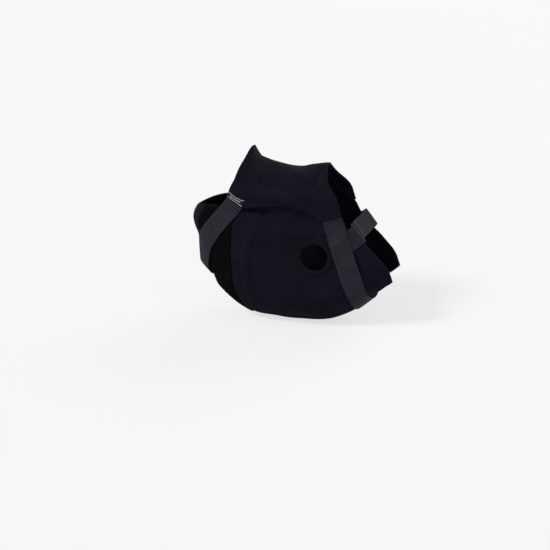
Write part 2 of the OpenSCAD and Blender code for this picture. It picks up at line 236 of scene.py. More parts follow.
# How strongly creases and rumple act on the pouch and on the saddle
POUCH_CREASE, POUCH_RUMPLE = 1.6, 0.9
SADDLE_CREASE, SADDLE_RUMPLE = 1.5, 0.8
# A crease keeps this share of its height at its two ends
CREASE_ENDS = 0.55
# Distance from the mid-plane at which a crease has its full height
POUCH_FADE, SADDLE_FADE = 40, 26
# The cloth is smooth round the opening: relief starts at this radius and is full after this run
SMOOTH_R, SMOOTH_RUN = 25, 8


def creases(x, z, lines):
    """Height of all the creases of a list at points of the side view."""
    out = np.zeros_like(x)
    for x0, z0, x1, z1, width, height in lines:
        dx, dz = x1 - x0, z1 - z0
        f = np.clip(((x - x0) * dx + (z - z0) * dz) / (dx * dx + dz * dz), 0, 1)
        d = np.hypot(x - x0 - f * dx, z - z0 - f * dz)
        along_it = CREASE_ENDS + (1 - CREASE_ENDS) * np.sin(np.pi * f)
        out += height * np.exp(-((d / width) ** 2)) * along_it
    return out


def ease(x):
    """A smooth step from 0 to 1."""
    x = np.clip(x, 0, 1)
    return x * x * (3 - 2 * x)


def rumple(p, size=23.0, seed=0.0):
    """A slow unevenness of about -1 to 1, made of crossed waves; size sets their length."""
    x, y, z = p[..., 0] / size, p[..., 1] / size, p[..., 2] / size
    return (
        np.sin(1.3 * x + 0.7 * z + 2 * seed + 0.6 * np.sin(1.7 * z + y)) * np.sin(1.1 * z - 0.4 * x + seed)
        + 0.5 * np.sin(2.9 * x - 1.9 * z + 3 * seed + y) * np.sin(2.3 * z + 1.1 * y + seed)
    ) / 1.5


def relief(a, t):
    """How far the cloth stands off the plain skin."""
    p = base_skin(a, t)
    x, y, z = p[..., 0], p[..., 1], p[..., 2]
    fold = np.where(y < 0, creases(x, z, NEAR_CREASES), creases(x, z, FAR_CREASES))
    height = POUCH_CREASE * fold * ease(np.abs(y) / POUCH_FADE) + POUCH_RUMPLE * rumple(p)
    return height * ease((np.hypot(x, z) - SMOOTH_R) / SMOOTH_RUN)


def above(a, t, d):
    """Points at a height d over the relief. A d of one dimension holds a height for each row."""
    a, t = np.broadcast_arrays(np.asarray(a, float), np.asarray(t, float))
    d = np.asarray(d, float)
    if d.ndim == 1:
        d = d[:, None]
    return base_skin(a, t) + skin_normal(a, t) * (relief(a, t) + d)[..., None]


def on_side(t, far):
    """A place on the near side, or the same on the far side."""
    return 2 - t if far else t


def at(x, z, start):
    """Angle and place of points of the side view, with angles from start on."""
    a = np.degrees(np.arctan2(z, x))
    a = np.where(a < start, a + 360, a)
    return np.stack([a, place(np.hypot(x, z), a)], -1)


def grid_normals(g):
    return unit(np.cross(np.gradient(g, axis=0), np.gradient(g, axis=1)))


# Mesh making
def link(obj):
    scene.collection.objects.link(obj)
    return obj


def rest_on_frame(obj, stands_for=()):
    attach(obj, "root")
    if stands_for:
        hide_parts(*stands_for)


def uv_of(g):
    """Arc length along each direction of a grid, in metres."""
    u = np.zeros(g.shape[:2])
    v = np.zeros(g.shape[:2])
    u[1:] = np.cumsum(np.linalg.norm(np.diff(g, axis=0), axis=-1), axis=0)
    v[:, 1:] = np.cumsum(np.linalg.norm(np.diff(g, axis=1), axis=-1), axis=1)
    v -= v.mean(axis=1, keepdims=True)
    return np.stack([u.mean(axis=1, keepdims=True) + 0 * u, v], -1) * MM


def smooth_mesh(name, points, faces, uv, material, rim=None, kind=None):
    """An object with smooth faces and a UV pair for each point. Faces of kind 1 take the rim's material."""
    mesh = bpy.data.meshes.new(name)
    mesh.from_pydata((points * MM).tolist(), [], faces)
    mesh.materials.append(material)
    if rim:
        mesh.materials.append(rim)
        mesh.polygons.foreach_set("material_index", kind)
    layer = mesh.uv_layers.new(name="UVMap")
    corner = np.zeros(len(mesh.loops), int)
    mesh.loops.foreach_get("vertex_index", corner)
    layer.data.foreach_set("uv", uv[corner].astype(np.float32).ravel())
    b = bmesh.new()
    b.from_mesh(mesh)
    bmesh.ops.recalc_face_normals(b, faces=b.faces)
    for f in b.faces:
        f.smooth = True
    b.to_mesh(mesh)
    b.free()
    return link(bpy.data.objects.new(name, mesh))


def slab(name, low, high, material, rim=None, closed=False, bevel=0.5, uv=None):
    """A closed sheet between two grids of points, with a rounded rim."""
    n, m = low.shape[:2]
    k = n * m
    faces, kind = [], []
    for i in range(n if closed else n - 1):
        ii = (i + 1) % n
        for j in range(m - 1):
            p, q = i * m + j, ii * m + j
            faces += [(p, p + 1, q + 1, q), (k + p, k + q, k + q + 1, k + p + 1)]
            kind += [0, 0]
        p, q, r, s = i * m, ii * m, i * m + m - 1, ii * m + m - 1
        faces += [(p, q, k + q, k + p), (r, k + r, k + s, s)]
        kind += [1, 1]
    if not closed:
        for j in range(m - 1):
            q = (n - 1) * m + j
            faces += [(j, k + j, k + j + 1, j + 1), (q, q + 1, k + q + 1, k + q)]
            kind += [1, 1]
    points = np.concatenate([low.reshape(-1, 3), high.reshape(-1, 3)])
    uv = (uv_of(high) if uv is None else uv).reshape(-1, 2)
    obj = smooth_mesh(name, points, faces, np.concatenate([uv, uv]), material, rim, kind)
    if bevel:
        mod = obj.modifiers.new("rim", "BEVEL")
        mod.width = bevel * MM
        mod.segments = 3
        mod.limit_method = "ANGLE"
        mod.angle_limit = np.radians(50)
        mod.material = -1
    return obj


def threads(name, lines, radius, material):
    """Stitches as one curve object: each line is a short list of points in millimetres."""
    curve = bpy.data.curves.new(name, "CURVE")
    curve.dimensions = "3D"
    curve.bevel_depth = radius * MM
    curve.bevel_resolution = 1
    curve.use_fill_caps = True
    for line in lines:
        s = curve.splines.new("POLY")
        s.points.add(len(line) - 1)
        s.points.foreach_set("co", np.hstack([np.asarray(line) * MM, np.ones((len(line), 1))]).ravel())
    curve.materials.append(material)
    return link(bpy.data.objects.new(name, curve))


def spaced(points, step):
    """Points at an even distance along a line."""
    d = np.concatenate([[0], np.cumsum(np.linalg.norm(np.diff(points, axis=0), axis=1))])
    s = np.linspace(0, d[-1], max(2, int(d[-1] / step)))
    return np.stack([np.interp(s, d, points[:, i]) for i in range(3)], -1)


def resampled(line, n):
    """A line of points or directions read at n even shares of its rows."""
    s, rows = np.linspace(0, 1, n), np.linspace(0, 1, len(line))
    return np.stack([np.interp(s, rows, line[:, i]) for i in range(3)], -1)


def read_grid(g, x, y):
    """A grid of points or directions read between its rows and columns."""
    i = np.clip(np.floor(x).astype(int), 0, g.shape[0] - 2)
    j = np.clip(np.floor(y).astype(int), 0, g.shape[1] - 2)
    x, y = (x - i)[..., None], (y - j)[..., None]
    here = g[i, j] * (1 - x) + g[i + 1, j] * x
    beside = g[i, j + 1] * (1 - x) + g[i + 1, j + 1] * x
    return here * (1 - y) + beside * y


# How deep a stitch's ends go into the cloth, and the share of its length over which each end rises
STITCH_DIP, STITCH_RISE = 0.35, 0.08


def running_stitch(points, normal, pitch, gap=0.7, lift=0.18):
    """A lockstitch line: each stitch dips into the cloth at both ends."""
    p = spaced(points, pitch)
    n = resampled(normal, len(p))
    out = []
    for i in range(len(p) - 1):
        v = p[i + 1] - p[i]
        f = gap / 2 / max(1e-6, np.linalg.norm(v))
        a, b = p[i] + v * f, p[i + 1] - v * f
        dip, top, run = n[i] * STITCH_DIP, n[i] * lift, v * STITCH_RISE
        out.append([a - dip, a + run + top, b - run + top, b - dip])
    return out


# Materials
def new_material(name):
    m = bpy.data.materials.new(name)
    m.use_nodes = True
    t = m.node_tree
    return m, t, t.nodes["Principled BSDF"]


def node(t, kind, **values):
    n = t.nodes.new(kind)
    for k, v in values.items():
        if k in n.inputs.keys():
            n.inputs[k].default_value = v
        else:
            setattr(n, k, v)
    return n


def coords(t, uv=False):
    return node(t, "ShaderNodeTexCoord").outputs["UV" if uv else "Object"]


def math(t, op, a, b=None, c=None):
    n = node(t, "ShaderNodeMath", operation=op)
    for i, v in enumerate((a, b, c)):
        if v is None:
            continue
        if isinstance(v, (int, float)):
            n.inputs[i].default_value = v
        else:
            t.links.new(v, n.inputs[i])
    return n.outputs[0]


def noise(t, vector, scale, detail=3.0, rough=0.55):
    n = node(t, "ShaderNodeTexNoise", Scale=scale, Detail=detail, Roughness=rough)
    t.links.new(vector, n.inputs["Vector"])
    return n.outputs["Fac"]


def bump(t, bsdf, height, distance, strength=1.0, under=None):
    b = node(t, "ShaderNodeBump", Strength=strength, Distance=distance)
    t.links.new(height, b.inputs["Height"])
    if under is not None:
        t.links.new(under, b.inputs["Normal"])
    t.links.new(b.outputs["Normal"], bsdf.inputs["Normal"])
    return b.outputs["Normal"]


def tint(t, bsdf, fac, dark, light):
    r = node(t, "ShaderNodeValToRGB")
    r.color_ramp.elements[0].color = (*dark, 1)
    r.color_ramp.elements[1].color = (*light, 1)
    r.color_ramp.elements[0].position = 0.3
    r.color_ramp.elements[1].position = 0.72
    t.links.new(fac, r.inputs["Fac"])
    t.links.new(r.outputs["Color"], bsdf.inputs["Base Color"])


def waves(t, vector, axis, pitch_m):
    s = node(t, "ShaderNodeSeparateXYZ")
    t.links.new(vector, s.inputs[0])
    return math(t, "SINE", math(t, "MULTIPLY", s.outputs[axis], 2 * np.pi / pitch_m))


def cloth_material(name, dark, light, rough, gloss, sheen, pile, pile_height, uv_knit=None):
    """Cloth with a noise of scale pile on it, and a knit with a pitch of uv_knit metres where given."""
    m, t, b = new_material(name)
    v = coords(t)
    tint(t, b, noise(t, v, 38.0, 6.0, 0.7), dark, light)
    b.inputs["Roughness"].default_value = rough
    b.inputs["Specular IOR Level"].default_value = gloss
    b.inputs["Sheen Weight"].default_value = sheen
    b.inputs["Sheen Roughness"].default_value = 0.45
    b.inputs["Sheen Tint"].default_value = (0.75, 0.78, 1.0, 1)
    soft = bump(t, b, noise(t, v, 160.0, 3.0), 0.0005, 0.5)
    fine = bump(t, b, noise(t, v, pile, 2.0, 0.6), pile_height, 0.8, soft)
    if uv_knit:
        w = coords(t, uv=True)
        knit = math(t, "MULTIPLY", waves(t, w, 0, uv_knit), waves(t, w, 1, uv_knit * 0.8))
        bump(t, b, knit, 0.00009, 0.6, fine)
    return m


neoprene = cloth_material(
    "neoprene_jersey", (0.0054, 0.0053, 0.0099), (0.0079, 0.0078, 0.0142),
    rough=0.72, gloss=0.02, sheen=0.004, pile=1500.0, pile_height=0.00012, uv_knit=0.0009)
foam = cloth_material(
    "neoprene_core", (0.004, 0.004, 0.005), (0.008, 0.008, 0.009),
    rough=0.9, gloss=0.03, sheen=0.0, pile=2600.0, pile_height=0.0002)
loop_cloth = cloth_material(
    "loop_pile", (0.0018, 0.0017, 0.0021), (0.0046, 0.0042, 0.0050),
    rough=0.95, gloss=0.01, sheen=0.0, pile=1150.0, pile_height=0.0007)
hook_cloth = cloth_material(
    "hook_tape", (0.0050, 0.0050, 0.0060), (0.0110, 0.0110, 0.0130),
    rough=0.6, gloss=0.04, sheen=0.0, pile=900.0, pile_height=0.0005)
binding_cloth = cloth_material(
    "binding_tape", (0.0038, 0.0038, 0.0050), (0.0070, 0.0070, 0.0090),
    rough=0.7, gloss=0.04, sheen=0.003, pile=2000.0, pile_height=0.00012, uv_knit=0.0007)
RIB_PITCH, WARP_PITCH = 0.0016, 0.0011


def webbing_material():
    m, t, b = new_material("webbing")
    w = coords(t, uv=True)
    v = coords(t)
    ribs = waves(t, w, 0, RIB_PITCH)
    warp = waves(t, w, 1, WARP_PITCH)
    weave = math(t, "ADD", math(t, "MULTIPLY", ribs, 0.6), math(t, "MULTIPLY", warp, 0.4))
    fac = math(t, "ADD", math(t, "MULTIPLY", noise(t, v, 60.0, 5.0, 0.65), 0.8),
               math(t, "MULTIPLY_ADD", weave, 0.12, 0.1))
    tint(t, b, fac, (0.0140, 0.0146, 0.0198), (0.0245, 0.0252, 0.0332))
    b.inputs["Roughness"].default_value = 0.62
    b.inputs["Specular IOR Level"].default_value = 0.06
    b.inputs["Sheen Weight"].default_value = 0.005
    soft = bump(t, b, noise(t, v, 220.0, 2.0), 0.0003, 0.4)
    bump(t, b, weave, 0.00022, 0.9, soft)
    return m


def thread_material(name, colour):
    m, t, b = new_material(name)
    v = coords(t)
    tint(t, b, noise(t, v, 900.0, 3.0), tuple(c * 0.75 for c in colour), tuple(c * 1.2 for c in colour))
    b.inputs["Roughness"].default_value = 0.6
    b.inputs["Specular IOR Level"].default_value = 0.08
    bump(t, b, noise(t, v, 2600.0, 2.0), 0.00008, 0.6)
    return m


def label_material():
    """A dark woven label with two pale border lines and a plain row of woven bars, in UV from 0 to 1."""
    m, t, b = new_material("woven_label")
    c = node(t, "ShaderNodeTexCoord")
    s = node(t, "ShaderNodeSeparateXYZ")
    t.links.new(c.outputs["UV"], s.inputs[0])
    u, v = s.outputs[0], s.outputs[1]

    def band(value, centre, half):
        return math(t, "LESS_THAN", math(t, "ABSOLUTE", math(t, "SUBTRACT", value, centre)), half)

    border = math(t, "ADD", band(v, 0.14, 0.035), band(v, 0.86, 0.035))
    bars = math(t, "MULTIPLY", band(v, 0.5, 0.13), band(u, 0.5, 0.34))
    steps = math(t, "GREATER_THAN", math(t, "SINE", math(t, "MULTIPLY", u, 2 * np.pi * 11)), 0.1)
    mark = math(t, "MAXIMUM", border, math(t, "MULTIPLY", bars, steps))
    weave = math(t, "MULTIPLY", waves(t, c.outputs["UV"], 0, 1 / 46), waves(t, c.outputs["UV"], 1, 1 / 30))
    fac = math(t, "MULTIPLY", mark, math(t, "MULTIPLY_ADD", weave, 0.12, 0.85))
    # Inputs 6 and 7 of a colour mix are its two colours: the ground's and the mark's
    mix = node(t, "ShaderNodeMix", data_type="RGBA")
    mix.inputs[6].default_value = (0.010, 0.013, 0.020, 1)
    mix.inputs[7].default_value = (0.52, 0.53, 0.57, 1)
    t.links.new(fac, mix.inputs[0])
    t.links.new(mix.outputs[2], b.inputs["Base Color"])
    b.inputs["Roughness"].default_value = 0.6
    b.inputs["Specular IOR Level"].default_value = 0.12
    bump(t, b, weave, 0.00008, 0.8)
    return m


webbing = webbing_material()
label_cloth = label_material()
dark_thread = thread_material("dark_thread", (0.006, 0.006, 0.009))
seam_thread = thread_material("seam_thread", (0.0075, 0.0075, 0.0130))
strap_thread = thread_material("strap_thread", (0.007, 0.007, 0.010))
rib_thread = thread_material("rib_thread", (0.0120, 0.0120, 0.0195))


# The pouch
SIDES = ((False, "left"), (True, "right"))
KEEL = float(place(SEAM_FOOT_R, SEAM_FOOT_A))
# How far the strip rises towards its front edge, and where the lower face of a loop patch lies
STRIP_RISE = 1.5
LOOP_BASE = 0.05


def steps(a, b, n):
    """Even values from a towards b, without b itself."""
    return a + (b - a) * np.arange(n) / n


def side_limit(a):
    """Place of the side panel's edge."""
    seam = place(tab(a, SEAM_LINE), a) - SEAM_SLIT
    heel_r = np.hypot(*base_skin(HEEL_A, KEEL)[[0, 2]])
    heel = place(tab(a, [[HEEL_A, heel_r], *HEEL_RUN]), a)
    lower = np.where(a <= HEEL_A, KEEL - SEAM_SLIT, heel)
    front = np.where(a <= SEAM_FOOT_A, seam, lower)
    return np.where(a <= SEAM_TOP_A, place(tab(a, TOP_EDGE), a), front)


def shell_panel(name, a, t, stands_for, rise=0.0, closed=False, bevel=0.7):
    """A neoprene panel with its outer face on the relief, or raised from it."""
    low, high = above(a, t, -NEOPRENE), above(a, t, rise)
    panel = slab(name, low, high, neoprene, foam, closed=closed, bevel=bevel)
    rest_on_frame(panel, stands_for)


def loop_piece(name, a, t, stands_for, pile=0.0):
    """A flat piece of loop fabric."""
    low, high = above(a, t, LOOP_BASE), above(a, t, PATCH_LOW + LOOP + pile)
    rest_on_frame(slab(name, low, high, loop_cloth, bevel=0.45), stands_for)


# Rows of the side panels, with one at every corner of their edge
angles = np.concatenate([
    steps(FIRST_A, WAIST_A, 44), steps(WAIST_A, SEAM_TOP_A, 70), steps(SEAM_TOP_A, SEAM_FOOT_A, 64),
    steps(SEAM_FOOT_A, HEEL_A, 72), steps(HEEL_A, LAST_A, 20),
])
on_flat = np.repeat(np.linspace(-1, -0.04, 9)[None], len(angles), 0)
t = np.hstack([on_flat, side_limit(angles)[:, None] * np.linspace(0, 1, 40)[None]])
a = np.repeat(angles[:, None], t.shape[1], 1)
for far, side in SIDES:
    shell_panel(f"side_{side}_cloth", a, on_side(t, far), [f"side_panel_{side}"], closed=True)


def to_foot(top, j):
    """Angle at share j of the way from a top angle to the seams' foot."""
    return top + (SEAM_FOOT_A - SLIT - top) * j


def strip_point(s, j):
    """Angle and place on the strip: s from the flatlock to the front edge, j down its length."""
    b, c = to_foot(SEAM_TOP_A, j), to_foot(STRIP_TOP_A, j)
    tb, tc = place(tab(b, SEAM_LINE), b) + SEAM_SLIT, place(tab(c, STRIP_LINE), c)
    return b + (c - b) * s, tb + (tc - tb) * s


def nose_point(s, j):
    """Angle and place on the nose: s from the near strip over 1 at the mid-plane to the far strip."""
    c, m = to_foot(STRIP_TOP_A, j), to_foot(LIP_A, j)
    tc = place(tab(c, STRIP_LINE), c) + SEAM_SLIT
    q = np.where(s <= 1, s, 2 - s)
    a, t = c + (m - c) * q**2 * (3 - 2 * q), tc + (1 - tc) * q
    return a, np.where(s <= 1, t, 2 - t)


def grid(s0, s1, ns, j0, j1, nj, fn):
    """A function of s and j read on a grid."""
    j, s = np.meshgrid(np.linspace(j0, j1, nj), np.linspace(s0, s1, ns), indexing="ij")
    return fn(s, j)


for far, side in SIDES:
    a, t = grid(0, 1, 17, 0, 1, 90, strip_point)
    rise = STRIP_RISE * np.clip(np.linspace(0, 1, 17) * 2.2 - 0.4, 0, 1)[None]
    shell_panel(f"strip_{side}_cloth", a, on_side(t, far), [f"front_strip_{side}"], rise, bevel=0.6)
    a, t = grid(0.0, 0.5, 26, 0.012, 0.985, 80, nose_point)
    t = on_side(t, far)
    pile = 0.1 * np.sin(a * 9.1 + t * 60) * np.sin(t * 95 + a * 3.3)
    loop_piece(f"loop_{side}_cloth", a, t, [f"loop_patch_{side}"], pile)

a, t = grid(-0.02, 2.02, 93, 0, 1, 90, nose_point)
shell_panel("nose_cloth", a, t, ["nose_panel"])

keel_angles, keel_places = np.linspace(SEAM_FOOT_A + SLIT, HEEL_A, 90), np.linspace(KEEL, 2 - KEEL, 50)
a, t = np.meshgrid(keel_angles, keel_places, indexing="ij")
shell_panel("keel_cloth", a, t, ["keel_panel"])

# Flatlock seams: millimetres of cloth to one unit of place at the keel, and height of a bead at its rim
KEEL_SPAN = 75
RIM_HEIGHT = 0.12


def across_front(o, a):
    """Place at an offset in millimetres from the front seam."""
    return place(tab(a, SEAM_LINE) + o, a)


def across_keel(o, a):
    """Place at an offset in millimetres from the keel's edge."""
    return KEEL + o / KEEL_SPAN + 0 * a


def flatlock(name, far, line_a, across, stands_for, width, height):
    """A low bead over a joint with the looper threads that cross it."""
    offsets = np.linspace(-1, 1, 9)
    t = on_side(np.stack([across(o * width / 2, line_a) for o in offsets], -1), far)
    a = np.repeat(line_a[:, None], 9, 1)
    out = skin_normal(a, t)
    profile = RIM_HEIGHT + (height - RIM_HEIGHT) * np.sqrt(np.clip(1 - offsets**2, 0, 1)) * 0.8
    high = above(a, t, profile[None])
    rest_on_frame(slab(name, above(a, t, 0.02), high, neoprene, bevel=0), stands_for)
    n = len(spaced(high[:, 4], 1.7))
    rows = [resampled(high[:, c], n) for c in (0, 2, 4, 6, 8)]
    lift = unit(resampled(out[:, 4], n)) * 0.12
    shares = (0.0, 0.25, 0.5, 0.75, 1.0)
    lines = [
        [row[i] * (1 - f) + row[i + 1] * f + lift[i] for row, f in zip(rows, shares)]
        for i in range(n - 1)
    ]
    rest_on_frame(threads(name + "_threads", lines, 0.22, seam_thread))
    for c in (1, 7):
        needle = running_stitch(high[:, c] + out[:, c] * 0.1, out[:, c], 2.2)
        rest_on_frame(threads(f"{name}_needle_{c}", needle, 0.2, seam_thread))


def rib_marks(name, far):
    """Short bars of cover stitch on the strip, just forward of the flatlock. Their ends dip in."""
    ends = np.array([-0.5, 0, 0, 0, 0, -0.5])
    lines = []
    for angle in np.arange(150.0, 215.0, 1.75):
        r = tab(angle, SEAM_LINE) + np.linspace(3.6, 10.5, len(ends))
        a = angle + 0 * r
        rise = STRIP_RISE * np.clip((r - r[0]) / 22 - 0.1, 0, 1) + 0.14
        lines.append(above(a[None], on_side(place(r, a), far)[None], (rise + ends)[None])[0])
    rest_on_frame(threads(name, lines, 0.42, rib_thread))


seam_a = np.linspace(SEAM_TOP_A + 0.6, SEAM_FOOT_A - 0.6, 120)
keel_a = np.linspace(SEAM_FOOT_A + 1, HEEL_A - 0.6, 120)
for far, side in SIDES:
    rib_marks(f"strip_{side}_ribs", far)
    front_node = f"front_seam_{side}"
    flatlock(f"{front_node}_bead", far, seam_a, across_front, [front_node], SEAM_WIDTH, SEAM_HEIGHT)
    flatlock(f"keel_seam_{side}_bead", far, keel_a, across_keel, [], width=4.0, height=0.7)


# The saddle: u runs from 0 at its front to SPANS at its rear, f from 0 at its lower edge to RIDGE on top
SPANS = len(SADDLE) - 1
RIDGE = 3


def side_skin(x, z):
    """Near skin at a point of the side view, with the relief there."""
    a = np.degrees(np.arctan2(z, x))
    a = np.where(a < 0, a + 360, a)
    t = place(np.hypot(x, z), a)
    return base_skin(a, t)[..., 1], relief(a, t)


def saddle_row(i, f):
    """Points of one station. Its lower edge rests on the skin."""
    k = np.array(SADDLE[i], float)
    k[0, 1] = side_skin(k[0, 0], k[0, 2])[0] - GAP
    k = np.vstack([k, k[2] * [1, -1, 1]])
    j = np.minimum(RIDGE - 1, np.floor(f)).astype(int)
    x = (f - j)[:, None]
    a, b = k[j], k[j + 1]
    ma = np.where((j == 0)[:, None], b - a, (b - k[np.maximum(0, j - 1)]) / 2)
    return hermite(x, 1, a, ma, b, (k[j + 2] - a) / 2)


def saddle_near(u, f):
    """The near half. Its first and last spans are straight."""
    rows = np.stack([saddle_row(i, f) for i in range(SPANS + 1)])
    i = np.minimum(SPANS - 1, np.floor(u)).astype(int)
    x = (u - i)[:, None, None]
    a, b = rows[i], rows[i + 1]
    first, end = (i == 1)[:, None, None], (i == SPANS - 2)[:, None, None]
    ma = np.where(first, b - a, (b - rows[np.maximum(0, i - 1)]) / 2)
    mb = np.where(end, b - a, (rows[np.minimum(SPANS, i + 2)] - a) / 2)
    smooth = hermite(x, 1, a, ma, b, mb)
    return np.where(((i == 0) | (i == SPANS - 1))[:, None, None], a + (b - a) * x, smooth)


def clear_of_skin(p):
    """Points moved out where they would lie in the side panel."""
    a = np.degrees(np.arctan2(p[..., 2], p[..., 0]))
    inside = np.hypot(p[..., 0], p[..., 2]) < reach(a)
    y, lift = side_skin(p[..., 0], p[..., 2])
    limit = np.where(inside, y - SADDLE_LOW - lift, 0)
    p = p.copy()
    p[..., 1] = np.minimum(p[..., 1], limit)
    return p


# Folds of the saddle, written as the creases are
SADDLE_FOLDS = [
    (-112, 95, -69, 92, 8, -3.9), (-69, 92, -34, 85, 8, -4.2), (-34, 85, -6, 73, 8, -4.2),
    (-6, 73, 20, 62, 7, -3.8), (-106, 80, -50, 78, 7, 2.2), (-50, 78, -14, 68, 7, 2.0),
    (-14, 66, 14, 54, 6, 1.6), (0, 104, -8, 84, 5, -1.9), (-18, 100, -4, 80, 5, 1.2),
    (-44, 104, -22, 98, 6, 1.3), (-84, 112, -52, 101, 7, -1.2),
]
# The far side's folds lie this much further back, so that they aren't a plain mirror image
FAR_SHIFT = 2.0


def saddle_grid(u, f):
    """The saddle's inner face, on both sides: f above RIDGE is the far side."""
    near = np.minimum(f, 2 * RIDGE - f)
    p = saddle_near(u, near)
    held = 1 - ease((near - 0.9) / 0.9)
    p = p + (clear_of_skin(p) - p) * held[None, :, None]
    far = f > RIDGE
    p[:, far] *= [1, -1, 1]
    n = grid_normals(p)
    free = ease(near / 0.55)[None] * (0.35 + 0.65 * ease(np.minimum(u, SPANS - u) / 0.4))[:, None]
    fold = creases(p[..., 0] - np.where(far, FAR_SHIFT, 0.0)[None], p[..., 2], SADDLE_FOLDS)
    crease = SADDLE_CREASE * fold * ease(np.abs(p[..., 1]) / SADDLE_FADE)
    wave = (crease + SADDLE_RUMPLE * rumple(p, 26.0, 1.7)) * free
    return p + n * wave[..., None]


saddle_low = saddle_grid(np.linspace(0, SPANS, 121), np.linspace(0, 2 * RIDGE, 145))
saddle_out = grid_normals(saddle_low)
saddle = slab("saddle_cloth", saddle_low, saddle_low + saddle_out * NEOPRENE, neoprene, foam, bevel=0.8)
rest_on_frame(saddle, ["saddle_panel"])


# Straps
def along(v, f):
    """A smooth curve through points, read at shares of its length."""
    v = np.asarray(v, float)
    n = len(v) - 1
    f = np.asarray(f, float)
    i = np.minimum(n - 1, np.floor(f * n)).astype(int)
    x = (f * n - i)[:, None]
    a, b = v[i], v[i + 1]
    before, after = v[np.maximum(0, i - 1)], v[np.minimum(n, i + 2)]
    ma = (b - before) / np.where(i == 0, 1, 2)[:, None]
    mb = (after - a) / np.where(i == n - 1, 1, 2)[:, None]
    return hermite(x, 1, a, ma, b, mb)


# Rows of a strap here for each of its rows in part.scad
FINE = 4
# Rows on the near side, rows from there to the mid-plane, last row of the webbing, last row of the hook tab
FRONT_NEAR, FRONT_WRAP, FRONT_END, FRONT_TAB_END = 16, 9, 41, 46
REAR_NEAR, REAR_WRAP, REAR_END, REAR_TAB_END = 24, 8, 45, 51
TUBE_NEAR, TUBE_WRAP, TUBE_END, TUBE_TAB_END = 10, 12, 39, 44
FRONT_MID, REAR_MID, TUBE_MID = FRONT_NEAR + FRONT_WRAP, REAR_NEAR + REAR_WRAP, TUBE_NEAR + TUBE_WRAP
# First and last row of the rear loop pad, and last row of the seat tube's
REAR_PAD, TUBE_PAD_END = (REAR_END - 3, REAR_END + 8), 8
# The two pads reach past both edges of their strap by this share of its width
PAD_EXTRA = 0.08


def strap_edge(v, start, mid_a, n, m):
    """One edge of a strap: n rows on the near side, m on to the mid-plane, and the same beyond it."""
    n, m = n * FINE, m * FINE
    xz = along(v, np.arange(n + 1) / n)
    near = at(xz[:, 0], xz[:, 1], start)
    w = (np.arange(1, m + 1) / m)[:, None]
    end = near[-1]
    run, final = (end - near[-2]) * m, np.array([0, 1.2 * (1 - end[1])])
    path = np.concatenate([near, hermite(w, 1, end, run, np.array([mid_a, 1.0]), final)])
    back_half = path[-2::-1] * [1, -1] + [0, 2]
    return np.concatenate([path, back_half])


def ribbon(e1, e2, columns, extra=0.0):
    """A grid between two edges."""
    w = np.linspace(-extra, 1 + extra, columns + 1)[None, :, None]
    return e1[:, None] + (e2 - e1)[:, None] * w


def edge_row(u1, u2, columns, d):
    """A strap's top end, against the saddle's lower edge between two stations."""
    step = 0.02
    rows = []
    for u in np.linspace(u1, u2, columns + 1):
        p = clear_of_skin(saddle_near(np.array([u]), np.array([0.0, 0.1])))[0]
        ends = np.array([max(0, u - step), min(SPANS, u + step)])
        q = clear_of_skin(saddle_near(ends, np.array([0.0])))[:, 0]
        v = p[1] - p[0]
        n = unit(np.cross(q[1] - q[0], v))
        rows.append(p[0] + n * d - unit(v) * 2 * GAP)
    return np.array(rows)


def lay(g, d):
    """A grid of angle and place laid at a height d over the relief."""
    return above(g[..., 0], g[..., 1], d)


def crowned(g, thickness):
    """Webbing is a little thinner at its two edges."""
    w = np.linspace(-1, 1, g.shape[1])
    return thickness * (1 - 0.28 * np.abs(w) ** 6)[None]


def box_stitch(name, high):
    """A rectangle of stitches with a cross, just inside the edge of a tab."""
    n = grid_normals(high)
    last, side = high.shape[0] - 2, high.shape[1] - 2

    def run(a, b):
        x, y = np.linspace(a[0], b[0], 24), np.linspace(a[1], b[1], 24)
        return running_stitch(read_grid(high, x, y), unit(read_grid(n, x, y)), 2.3)

    corners = [(1, 1), (1, side), (last, side), (last, 1)]
    lines = []
    for a, b in zip(corners, corners[1:] + corners[:1]):
        lines += run(a, b)
    lines += run(corners[0], corners[2]) + run(corners[1], corners[3])
    rest_on_frame(threads(name, lines, 0.19, strap_thread))


def hem(name, high, i):
    """The folded end of a strap: a low roll with two rows of stitches beneath it."""
    n = grid_normals(high)
    roll = high[i, 1:-1] + n[i, 1:-1] * 0.1
    rest_on_frame(threads(name + "_roll", [roll], 0.55, webbing))
    lines = []
    for k in (2, 5):
        lines += running_stitch(high[i + k, 1:-1], n[i + k, 1:-1], 2.2)
    rest_on_frame(threads(name + "_stitches", lines, 0.2, strap_thread))


def hook(name, low, high, first, final, stands_for):
    """A hook tab that starts one row after the webbing ends, sewn down with a box of stitches."""
    cut = slice(first + 1, final + 1)
    rest_on_frame(slab(name, low[cut], high[cut], hook_cloth, bevel=0.4), stands_for)
    box_stitch(name + "_stitches", high[cut])


def closed_strap(prefix, full, raised, stations, hem_row, end, tab_end):
    """A strap from the saddle's edge to its hook tab. Where raised is 1 it lies over another layer."""
    columns = full.shape[1] - 1
    lift = STRAP_LOW + (STRAP_LIFT - STRAP_LOW) * np.clip(raised, 0, 1)
    lift = lift[:, None]
    base, top = lay(full, lift), lay(full, lift + crowned(full, WEBBING))
    tab_top = lay(full, lift + crowned(full, HOOK))
    low = np.concatenate([edge_row(*stations, columns, NEOPRENE - WEBBING)[None], base[:end + 1]])
    high = np.concatenate([edge_row(*stations, columns, NEOPRENE)[None], top[:end + 1]])
    strap = slab(f"{prefix}_strap_webbing", low, high, webbing, bevel=0.35)
    rest_on_frame(strap, [f"{prefix}_strap"])
    hem(f"{prefix}_strap_hem", high, hem_row)
    hook(f"{prefix}_hook_tape", base, tab_top, end, tab_end, [f"{prefix}_hook_tab"])


